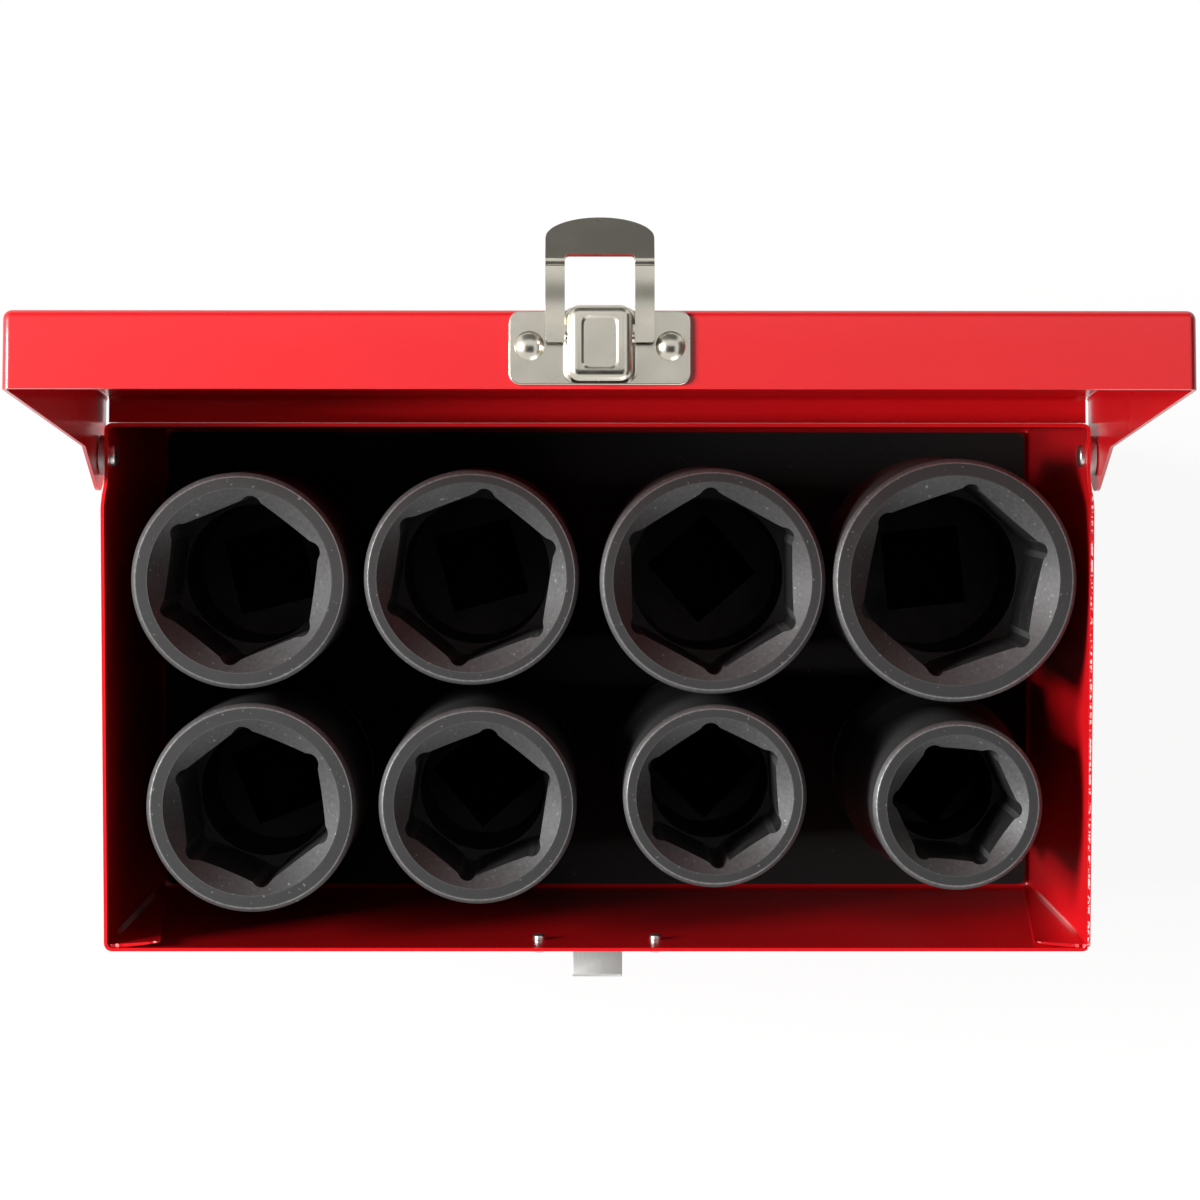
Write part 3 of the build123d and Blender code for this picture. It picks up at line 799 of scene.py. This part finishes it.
def turn_rivet(sizes, name, start, into, grip, widths):
    """A rivet drawn ring by ring from the top of its domed head to its peened tail, and laid in its hole."""
    shank, head, head_height, tail, tail_height = widths
    ball = (head ** 2 / 4 + head_height ** 2) / (2 * head_height)
    dome_steps, peen_steps = 10, 5
    leans = [asin(head / 2 / ball) * i / dome_steps for i in range(1, dome_steps + 1)]
    dome = [(ball * sin(lean), head_height - ball * (1 - cos(lean))) for lean in leans]
    end, curl = -grip - tail_height, sizes.tail_round
    turns = [pi / 2 * i / peen_steps for i in range(peen_steps + 1)]
    peen = [(tail / 2 - curl * (1 - cos(turn)), end + curl * (1 - sin(turn))) for turn in turns]
    rings = dome[1:] + [(shank / 2, 0), (shank / 2, -grip), (tail / 2, -grip)] + peen
    radius, height = dome[0]
    rivet = add_shape(name, "circle", vertices=32, radius=radius, fill_type="NGON", location=(0, 0, height))
    bpy.ops.object.mode_set(mode="EDIT")
    pick("EDGE", lambda edge: edge.is_boundary)
    draw_rings(Vector(), rings)
    bpy.ops.mesh.edge_face_add()
    face_outward()
    soften(rivet, sizes.edge)
    laid = (-Vector(into)).to_track_quat("Z", "Y").to_matrix().to_4x4()
    rivet.data.transform(Matrix.Translation(start) @ laid)
    return rivet


class CASE_OT_rivets(bpy.types.Operator):
    """Turn the hinge, latch and catch rivets, and finish the hinge washers"""

    bl_idname = "socket_case.rivets"
    bl_label = "Rivets"

    def execute(self, context):
        scene = context.scene
        sizes, plate, sheet = scene.case_rivet, scene.case_latch.plate, scene.case_tray.sheet
        zinc = finish(scene, zinc_plate)
        front, top = lid_front(scene)
        low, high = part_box("catch_rivets")
        widths = (sizes.shank, sizes.head, sizes.head_height, sizes.tail, sizes.tail_height)
        pairs = (
            ("catch_rivets", Vector((0, low.y + sizes.head_height, (low.z + high.z) / 2)), zinc),
            ("latch_rivets", Vector((0, front - plate, top - sizes.drop)), finish(scene, nickel_plate)),
        )
        for node, place, plating in pairs:
            pair = turn_rivet(sizes, f"{node}_turned", place, (0, 1, 0), plate + sheet, widths)
            choose(pair)
            bpy.ops.object.duplicate()
            other = bpy.context.object
            for rivet, side in ((pair, 1), (other, -1)):
                rivet.data.transform(Matrix.Translation((side * sizes.pitch / 2, 0, 0)))
            join(pair, other)
            if node == "latch_rivets":
                pair.data.transform(OPENED)
            finish_piece(pair, node, plating)
        head, tail = sizes.hinge_head_height, sizes.hinge_tail_height
        widths = (sizes.hinge_shank, sizes.hinge_head, head, sizes.hinge_tail, tail)
        for side, name in ((-1, "left"), (1, "right")):
            node = f"hinge_rivet_{name}"
            inside, outside = sorted(abs(corner.x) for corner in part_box(node))
            place = Vector((side * (outside - head), HINGE.y, HINGE.z))
            grip = outside - head - inside - tail
            pin = turn_rivet(sizes, f"{node}_turned", place, (-side, 0, 0), grip, widths)
            finish_piece(pin, node, zinc)
            dress(frame["nodes"][f"hinge_washer_{name}"], finish(scene, rolled_steel))
        return {"FINISHED"}


class CASE_OT_catch(bpy.types.Operator):
    """Round the edges of the catch plate and its hook"""

    bl_idname = "socket_case.catch"
    bl_label = "Catch"

    def execute(self, context):
        catch = softened_copy("catch_plate", "catch_pressing", context.scene.case_latch.catch_edge)
        finish_piece(catch, "catch_plate", finish(context.scene, rolled_steel))
        return {"FINISHED"}


def press_housing(sizes, face, top):
    """The raised housing: rounded edges, a flared foot, a sunk panel on its face and a hollow from below."""
    half, bottom, front = sizes.housing_width / 2, top - sizes.housing_height, face - sizes.housing_rise
    foot, wall = sizes.housing_flare, sizes.plate
    housing = start_block("latch_housing", (-half, front, bottom), (half, face - foot, top))
    round_edges(lambda edge: runs_along(edge, 1), sizes.housing_corner, CORNER_STEPS)
    round_edges(lambda edge: near(middle(edge).y, front), sizes.housing_round, CORNER_STEPS)
    steps = 5
    before = half
    for i in range(1, steps + 1):
        turn = pi / 2 * i / steps
        wide = half + foot * (1 - cos(turn))
        pick("FACE", lambda side: side.normal.y > STRAIGHT)
        bpy.ops.mesh.extrude_region_move()
        place_picked(lambda place: (place.x * wide / before, face - foot + foot * sin(turn), place.z))
        before = wide
    bpy.ops.object.mode_set(mode="OBJECT")
    pad = Vector((sizes.pad_width / 2, 0, sizes.pad_height / 2))
    slope = Vector((sizes.pad_slope, sizes.pad_depth, sizes.pad_slope))
    centre = Vector((0, front, (top + bottom) / 2))
    panel = start_block("pad_tool", centre - pad - slope, centre + pad + slope)
    pad_steps = 6
    round_edges(lambda edge: runs_along(edge, 1), sizes.pad_corner, pad_steps)
    pick("FACE", lambda side: side.normal.y > FACING)
    narrow = [(size - run) / (size + run) for size, run in zip(pad, slope)]
    bpy.ops.transform.resize(value=(narrow[0], 1, narrow[2]), center_override=centre)
    bpy.ops.object.mode_set(mode="OBJECT")
    carve(housing, panel)
    low = (wall - half, front + wall + sizes.pad_depth, bottom - wall)
    room = start_block("room_tool", low, (half - wall, face, top - sizes.housing_roof))
    bpy.ops.object.mode_set(mode="OBJECT")
    carve(housing, room)
    soften(housing, sizes.housing_edge, segments=4, angle=20)
    return housing


class CASE_OT_latch_plate(bpy.types.Operator):
    """Press the latch plate: a flat plate, and a hollow housing that flows out of it, with a sunk panel"""

    bl_idname = "socket_case.latch_plate"
    bl_label = "Latch plate"

    def execute(self, context):
        sizes = context.scene.case_latch
        back, lid_top = lid_front(context.scene)
        face, top, half = back - sizes.plate, lid_top - sizes.plate_drop, sizes.plate_width / 2
        plate = start_block("latch_pressing", (-half, face, top - sizes.plate_height), (half, back, top))
        round_edges(lambda edge: runs_along(edge, 1), sizes.plate_corner, CORNER_STEPS)
        bpy.ops.object.mode_set(mode="OBJECT")
        soften(plate, sizes.plate_edge, segments=3)
        join(plate, press_housing(sizes, face, top + sizes.housing_above))
        plate.data.transform(OPENED)
        finish_piece(plate, "latch_plate", finish(context.scene, nickel_plate))
        return {"FINISHED"}


def stamp_half(sizes, y, axis_z):
    """The flat right half: a leg with its foot, the tongue's side and the tongue out to the middle."""
    inner = sizes.housing_width / 2 + sizes.side_gap
    outer = inner + sizes.leg
    toe_z, foot_z, bend_z = axis_z - sizes.leg_end, axis_z + sizes.foot, axis_z + sizes.bend_at
    window_z = bend_z + sizes.past_bend
    side_z = window_z + sizes.shoulder
    loop = start_block("latch_loop_stamping", (inner, y, toe_z), (outer, y + MM, side_z))
    delete_faces(lambda face: face.normal.y > -FACING)
    rows, columns = 16, 6
    row, column = (bend_z - foot_z) / rows, sizes.leg / columns
    legs = [foot_z + i * row for i in range(1, rows - 1)]
    crease = [bend_z - sizes.crease_at + offset * sizes.crease for offset in (-2, 0, 2)]
    for height in (bend_z, window_z, foot_z, *legs, *crease):
        cut(2, height)
    for i in range(1, columns):
        cut(0, inner + i * column)
    pick("EDGE", lambda edge: near(middle(edge).x, inner) and middle(edge).z < foot_z)
    draw_in(sizes.side_gap - sizes.foot_gap)
    pick("EDGE", lambda edge: near(middle(edge).x, inner) and middle(edge).z > window_z)
    corner, corner_steps, tongue_steps = sizes.window_corner, 4, 8
    for step in [corner / corner_steps] * corner_steps + [(inner - corner) / tongue_steps] * tongue_steps:
        draw_in(step)
    # Closer columns at the tongue's side, where its arch is steepest
    for share in (0.5, 0.75, 0.9):
        cut(0, outer - (1 - share) * column, lambda face: face.calc_center_median().z > window_z)

    def arched(place):
        """Where the tongue's free edge lies on its arch."""
        return place.x, place.y, side_z + sizes.crown * sqrt(max(0, 1 - (place.x / outer) ** 2))

    def rounded(place):
        """Where the window's edge lies on its round corner."""
        drop = corner - sqrt(max(0, corner ** 2 - (place.x - inner + corner) ** 2))
        return place.x, place.y, place.z - drop

    pick("VERT", lambda vertex: near(vertex.co.z, side_z))
    place_picked(arched)
    pick("VERT", lambda vertex: near(vertex.co.z, window_z) and inner - corner < vertex.co.x < inner + TOUCH)
    place_picked(rounded)
    pick("VERT", lambda vertex: near(vertex.co.x, outer) and near(vertex.co.z, toe_z))
    bpy.ops.mesh.bevel(offset=sizes.foot_corner, segments=4, affect="VERTICES")
    bpy.ops.object.mode_set(mode="OBJECT")
    return loop


def draw_in(step):
    """Draw the selected edges a step on toward the middle."""
    bpy.ops.mesh.extrude_region_move(TRANSFORM_OT_translate={"value": (-step, 0, 0)})


def bend_loop(sizes, loop, y, axis_z):
    """Wave the legs a little, crease them below the bend and kick the tongue over at it."""
    choose(loop)
    bpy.ops.object.mode_set(mode="EDIT")
    low_z, bend_z = axis_z + sizes.foot, axis_z + sizes.bend_at

    def waved(place):
        """Where a leg's point lies on its wave."""
        return place.x, place.y + sizes.wave * sin(2 * pi * (place.z - low_z) / (bend_z - low_z)), place.z

    pick("VERT", lambda vertex: low_z < vertex.co.z < bend_z)
    place_picked(waved)
    pick("VERT", lambda vertex: near(vertex.co.z, bend_z - sizes.crease_at))
    bpy.ops.transform.translate(value=(0, sizes.crease, 0))
    pick("VERT", lambda vertex: vertex.co.z > bend_z + TOUCH)
    centre = Vector((0, y, bend_z))
    kick = Matrix.Rotation(-sizes.kick, 3, "X")
    place_picked(lambda place: centre + kick @ (place - centre))
    round_edges(
        lambda edge: runs_along(edge, 0) and near(middle(edge).z, bend_z), sizes.bend_round, BEND_STEPS
    )
    bpy.ops.object.mode_set(mode="OBJECT")


class CASE_OT_latch_loop(bpy.types.Operator):
    """Stamp the latch loop: half a frame with its tongue, mirrored, bent and given its thickness"""

    bl_idname = "socket_case.latch_loop"
    bl_label = "Latch loop"

    def execute(self, context):
        sizes = context.scene.case_latch
        front, top = lid_front(context.scene)
        y, axis_z = front - sizes.plate - sizes.crossbar_height, top - sizes.crossbar_drop
        loop = stamp_half(sizes, y, axis_z)
        apply_modifier(loop, "MIRROR", use_mirror_merge=True, merge_threshold=2 * TOUCH)
        bend_loop(sizes, loop, y, axis_z)
        apply_modifier(loop, "SOLIDIFY", thickness=sizes.strip, offset=0)
        soften(loop, sizes.loop_edge)
        bar = add_shape(
            "crossbar", "cylinder", vertices=32, radius=sizes.crossbar / 2,
            depth=sizes.housing_width + 2 * sizes.side_gap, location=(0, y, axis_z), rotation=(0, pi / 2, 0)
        )
        soften(bar, sizes.loop_edge)
        join(loop, bar)
        loop.data.transform(OPENED)
        finish_piece(loop, "latch_loop", finish(context.scene, nickel_plate))
        return {"FINISHED"}


def paint_bore_shade(socket, node, flats):
    """Give the faces inside the mouth the near-black painted shade of the bore."""
    low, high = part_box(node)
    axis = (low + high) / 2
    margin = 0.3 * MM
    reach = flats / 2 / cos(SIXTH / 2) + margin
    for face in socket.data.polygons:
        out = Vector((face.center.x - axis.x, face.center.y - axis.y, 0))
        faces_in = out.dot(face.normal) < -FACING * out.length or face.normal.z > FACING
        if out.length < reach and faces_in:
            face.material_index = 1


def turn_socket(sizes, node, flats, wall, hex_turn, drive_turn):
    """One deep socket, standing where its node stands."""
    low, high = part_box(node)
    axis, foot = (low + high) / 2, Vector(((low.x + high.x) / 2, (low.y + high.y) / 2, low.z))
    total = high.z - low.z
    corner = flats / 2 / cos(SIXTH / 2)
    nose, mouth, bore = corner + wall, corner + wall * sizes.mouth_share, (flats - sizes.bore_step) / 2
    rim, wear = nose - sizes.nose_chamfer, sizes.wear
    drive, hex_floor = sizes.drive_end / 2, total - sizes.hexagon_depth
    grip = drive - sizes.groove_depth
    groove = sizes.groove_height - sizes.groove_width / 2, sizes.groove_height + sizes.groove_width / 2
    spot = corner + sizes.relief_past - sizes.relief

    def hexagon(angle):
        """Radius of the hexagon, with a round relief in each corner."""
        off = (angle - hex_turn - pi / 2) % SIXTH
        off = min(off, SIXTH - off)
        flat = flats / 2 / cos(SIXTH / 2 - off)
        inside = sizes.relief ** 2 - (spot * sin(off)) ** 2
        return max(flat, spot * cos(off) + sqrt(inside)) if inside > 0 else flat

    def square(angle):
        """Radius of the drive square."""
        off = (angle - drive_turn) % (pi / 2)
        return sizes.drive_square / 2 / cos(min(off, pi / 2 - off))

    rings = [
        (drive, sizes.drive_chamfer), (drive, groove[0]), (grip, groove[0]), (grip, groove[1]),
        (drive, groove[1]), (drive, sizes.drive_length), (nose, sizes.drive_length + sizes.drive_taper),
        (nose, total - sizes.nose_chamfer), (rim + wear / 2, total - wear / 2), (rim, total),
        (rim - wear, total), (mouth + wear, total), (mouth, total),
        lambda angle: (hexagon(angle), total - mouth + hexagon(angle)),
        lambda angle: (hexagon(angle), hex_floor),
        (bore, hex_floor), (bore, sizes.drive_depth),
        lambda angle: (square(angle), sizes.drive_depth),
        lambda angle: (square(angle), 0),
    ]
    socket = add_shape(
        f"{node}_forging", "circle", vertices=sizes.steps, radius=drive - sizes.drive_chamfer, location=foot,
        rotation=(0, 0, hex_turn)
    )
    bpy.ops.object.mode_set(mode="EDIT")
    bpy.ops.mesh.select_all(action="SELECT")
    draw_rings(foot, rings)
    pick("EDGE", lambda edge: edge.is_boundary)
    bpy.ops.mesh.bridge_edge_loops()
    face_outward()
    hole = Vector((drive / 2 * cos(drive_turn), drive / 2 * sin(drive_turn), sizes.groove_height))
    drill = add_shape(
        "pin_hole_drill", "cylinder", vertices=24, radius=sizes.pin_hole / 2, depth=drive,
        location=foot + hole, rotation=(0, pi / 2, drive_turn)
    )
    carve(socket, drill)
    soften(socket, sizes.edge, angle=28)

    def from_axis(place):
        """How far a place is from the socket's axis."""
        return hypot(place.x - axis.x, place.y - axis.y)

    def worn(place):
        """How rubbed a place is: wholly on the nose's edge, and less away from it."""
        return max(0, 1 - hypot(from_axis(place) - rim, place.z - high.z) / wear)

    def in_mouth(place):
        """One in the mouth, where bolt heads scuff the finish, and nought elsewhere."""
        depth = mouth - flats / 2 + sizes.edge
        return float(from_axis(place) < mouth + sizes.edge and place.z > high.z - depth)

    for name, rule in (("wear", worn), ("mouth", in_mouth)):
        values = socket.data.attributes.new(name, "FLOAT", "POINT").data
        values.foreach_set("value", [rule(vertex.co) for vertex in socket.data.vertices])
    return socket


class CASE_OT_sockets(bpy.types.Operator):
    """Turn each socket from a circle that is drawn up ring by ring, outside and then inside"""

    bl_idname = "socket_case.sockets"
    bl_label = "Sockets"

    def execute(self, context):
        for node, (flats, wall, hex_turn, drive_turn) in SOCKETS.items():
            turns = radians(hex_turn), radians(drive_turn)
            socket = turn_socket(context.scene.case_socket, node, flats * MM, wall * MM, *turns)
            finish_piece(socket, node, finish(context.scene, black_phosphate))
            socket.data.materials.append(finish(context.scene, bore_painted_shade))
            paint_bore_shade(socket, node, flats * MM)
        return {"FINISHED"}


def set_floor(scene):
    """A wide pale floor that looks white and still takes a shadow."""
    width, gap, white_share = 12, 0.05 * MM, 0.93
    floor = add_shape("studio_floor", "plane", size=width, location=(0, 0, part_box("case_body")[0].z - gap))
    material = bpy.data.materials.new("matt_white_floor")
    tree = empty_tree(material)
    matt = add_node(tree, "BsdfDiffuse", {"Color": scene.case_finishes.floor})
    white = add_node(tree, "Emission", {"Color": (1, 1, 1, 1), "Strength": 1})
    share = add_node(tree, "Math", (seen_share(tree), white_share), operation="MULTIPLY")
    add_node(tree, "OutputMaterial", {"Surface": add_node(tree, "MixShader", (share, matt, white))})
    dress(floor, material)


def seen_share(tree):
    """One for what the camera sees, straight, mirrored or through glass, and nought for other light."""
    path = add_node(tree, "LightPath").outputs
    shine = add_node(
        tree, "Math", (path["Is Glossy Ray"], path["Is Transmission Ray"]), operation="MAXIMUM"
    )
    return add_node(tree, "Math", (path["Is Camera Ray"], shine), operation="MAXIMUM")


def set_world(scene):
    """A white world to look at, and a softer one to light with."""
    scene.world = bpy.data.worlds.new("white_studio")
    tree = empty_tree(scene.world)
    soft, full = [
        add_node(tree, "Background", {"Color": (1, 1, 1, 1), "Strength": strength}) for strength in (0.14, 1)
    ]
    add_node(tree, "OutputWorld", {"Surface": add_node(tree, "MixShader", (seen_share(tree), soft, full))})


def set_lamp(name, place, size, power):
    """A square soft lamp that points at the case."""
    bpy.ops.object.light_add(type="AREA", location=place)
    lamp = bpy.context.object
    lamp.name = name
    lamp.data.shape = "SQUARE"
    lamp.data.size = size
    lamp.data.energy = power
    lamp.rotation_euler = (TARGET - place).to_track_quat("-Z", "Y").to_euler()


def set_card(name, place, width, height, tone):
    """A dark card for bright metal to mirror, out of the camera's sight and casting no shadow."""
    card = add_shape(name, "plane", size=1)
    turn = (TARGET - place).to_track_quat("Z", "Y")
    card.data.transform(Matrix.LocRotScale(place, turn, Vector((width, height, 1))))
    card.visible_camera = False
    card.visible_shadow = False
    material, _, shader, _ = start_material("felt_card")
    set_inputs(shader, {"Base Color": (tone, tone, tone, 1), "Roughness": 0.9})
    dress(card, material)


def set_camera(scene):
    """The photograph's camera: nearly straight above, a little behind the middle of the case."""
    photo_width, focal_pixels = 1200, 3076
    roll, pan, tilt = -0.0005, 0.0042, 0.054
    above_rim = Vector((-2.4 * MM, 57.5 * MM, 693.1 * MM))
    bpy.ops.object.camera_add(location=above_rim + Vector((0, 0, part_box("case_body")[1].z)))
    camera = bpy.context.object
    camera.name = "photo_camera"
    camera.data.sensor_width = 36
    camera.data.lens = camera.data.sensor_width * focal_pixels / photo_width
    turn = Matrix.Rotation(roll, 3, "Z") @ Matrix.Rotation(pan, 3, "Y") @ Matrix.Rotation(tilt, 3, "X")
    camera.rotation_euler = turn.transposed().to_euler()
    scene.camera = camera


class CASE_OT_stage(bpy.types.Operator):
    """Set the floor, the studio lights, the white world and the camera"""

    bl_idname = "socket_case.stage"
    bl_label = "Stage"

    def execute(self, context):
        set_floor(context.scene)
        set_world(context.scene)
        for name, (place, size, power) in LAMPS.items():
            set_lamp(name, Vector(place), size, power)
        for name, (place, (width, height), tone) in CARDS.items():
            set_card(name, Vector(place), width, height, tone)
        set_camera(context.scene)
        context.scene.view_settings.view_transform = "Standard"
        return {"FINISHED"}


class CASE_PT_panel(bpy.types.Panel):
    """The pieces of the socket case, in the order in which they are made"""

    bl_idname = "CASE_PT_panel"
    bl_label = "Socket case"
    bl_space_type = "VIEW_3D"
    bl_region_type = "UI"
    bl_category = "Socket case"

    def draw(self, context):
        for operator in OPERATORS:
            self.layout.operator(operator.bl_idname)


OPERATORS = (
    CASE_OT_tray, CASE_OT_lid, CASE_OT_mat, CASE_OT_rivets, CASE_OT_catch, CASE_OT_latch_plate,
    CASE_OT_latch_loop, CASE_OT_sockets, CASE_OT_stage,
)
GROUPS = {
    "case_tray": TraySizes, "case_lid": LidSizes, "case_latch": LatchSizes, "case_rivet": RivetSizes,
    "case_socket": SocketSizes, "case_finishes": Finishes,
}


def register():
    """Register the property groups, the operators and the panel."""
    for name, group in GROUPS.items():
        bpy.utils.register_class(group)
        setattr(bpy.types.Scene, name, PointerProperty(type=group))
    for operator in OPERATORS:
        bpy.utils.register_class(operator)
    bpy.utils.register_class(CASE_PT_panel)


def unregister():
    """Take the panel, the operators and the property groups out again."""
    bpy.utils.unregister_class(CASE_PT_panel)
    for operator in reversed(OPERATORS):
        bpy.utils.unregister_class(operator)
    for name, group in reversed(GROUPS.items()):
        delattr(bpy.types.Scene, name)
        bpy.utils.unregister_class(group)


def main():
    """Make every piece in order."""
    register()
    for operator in OPERATORS:
        group, name = operator.bl_idname.split(".")
        getattr(getattr(bpy.ops, group), name)()


if __name__ == "__main__":
    main()
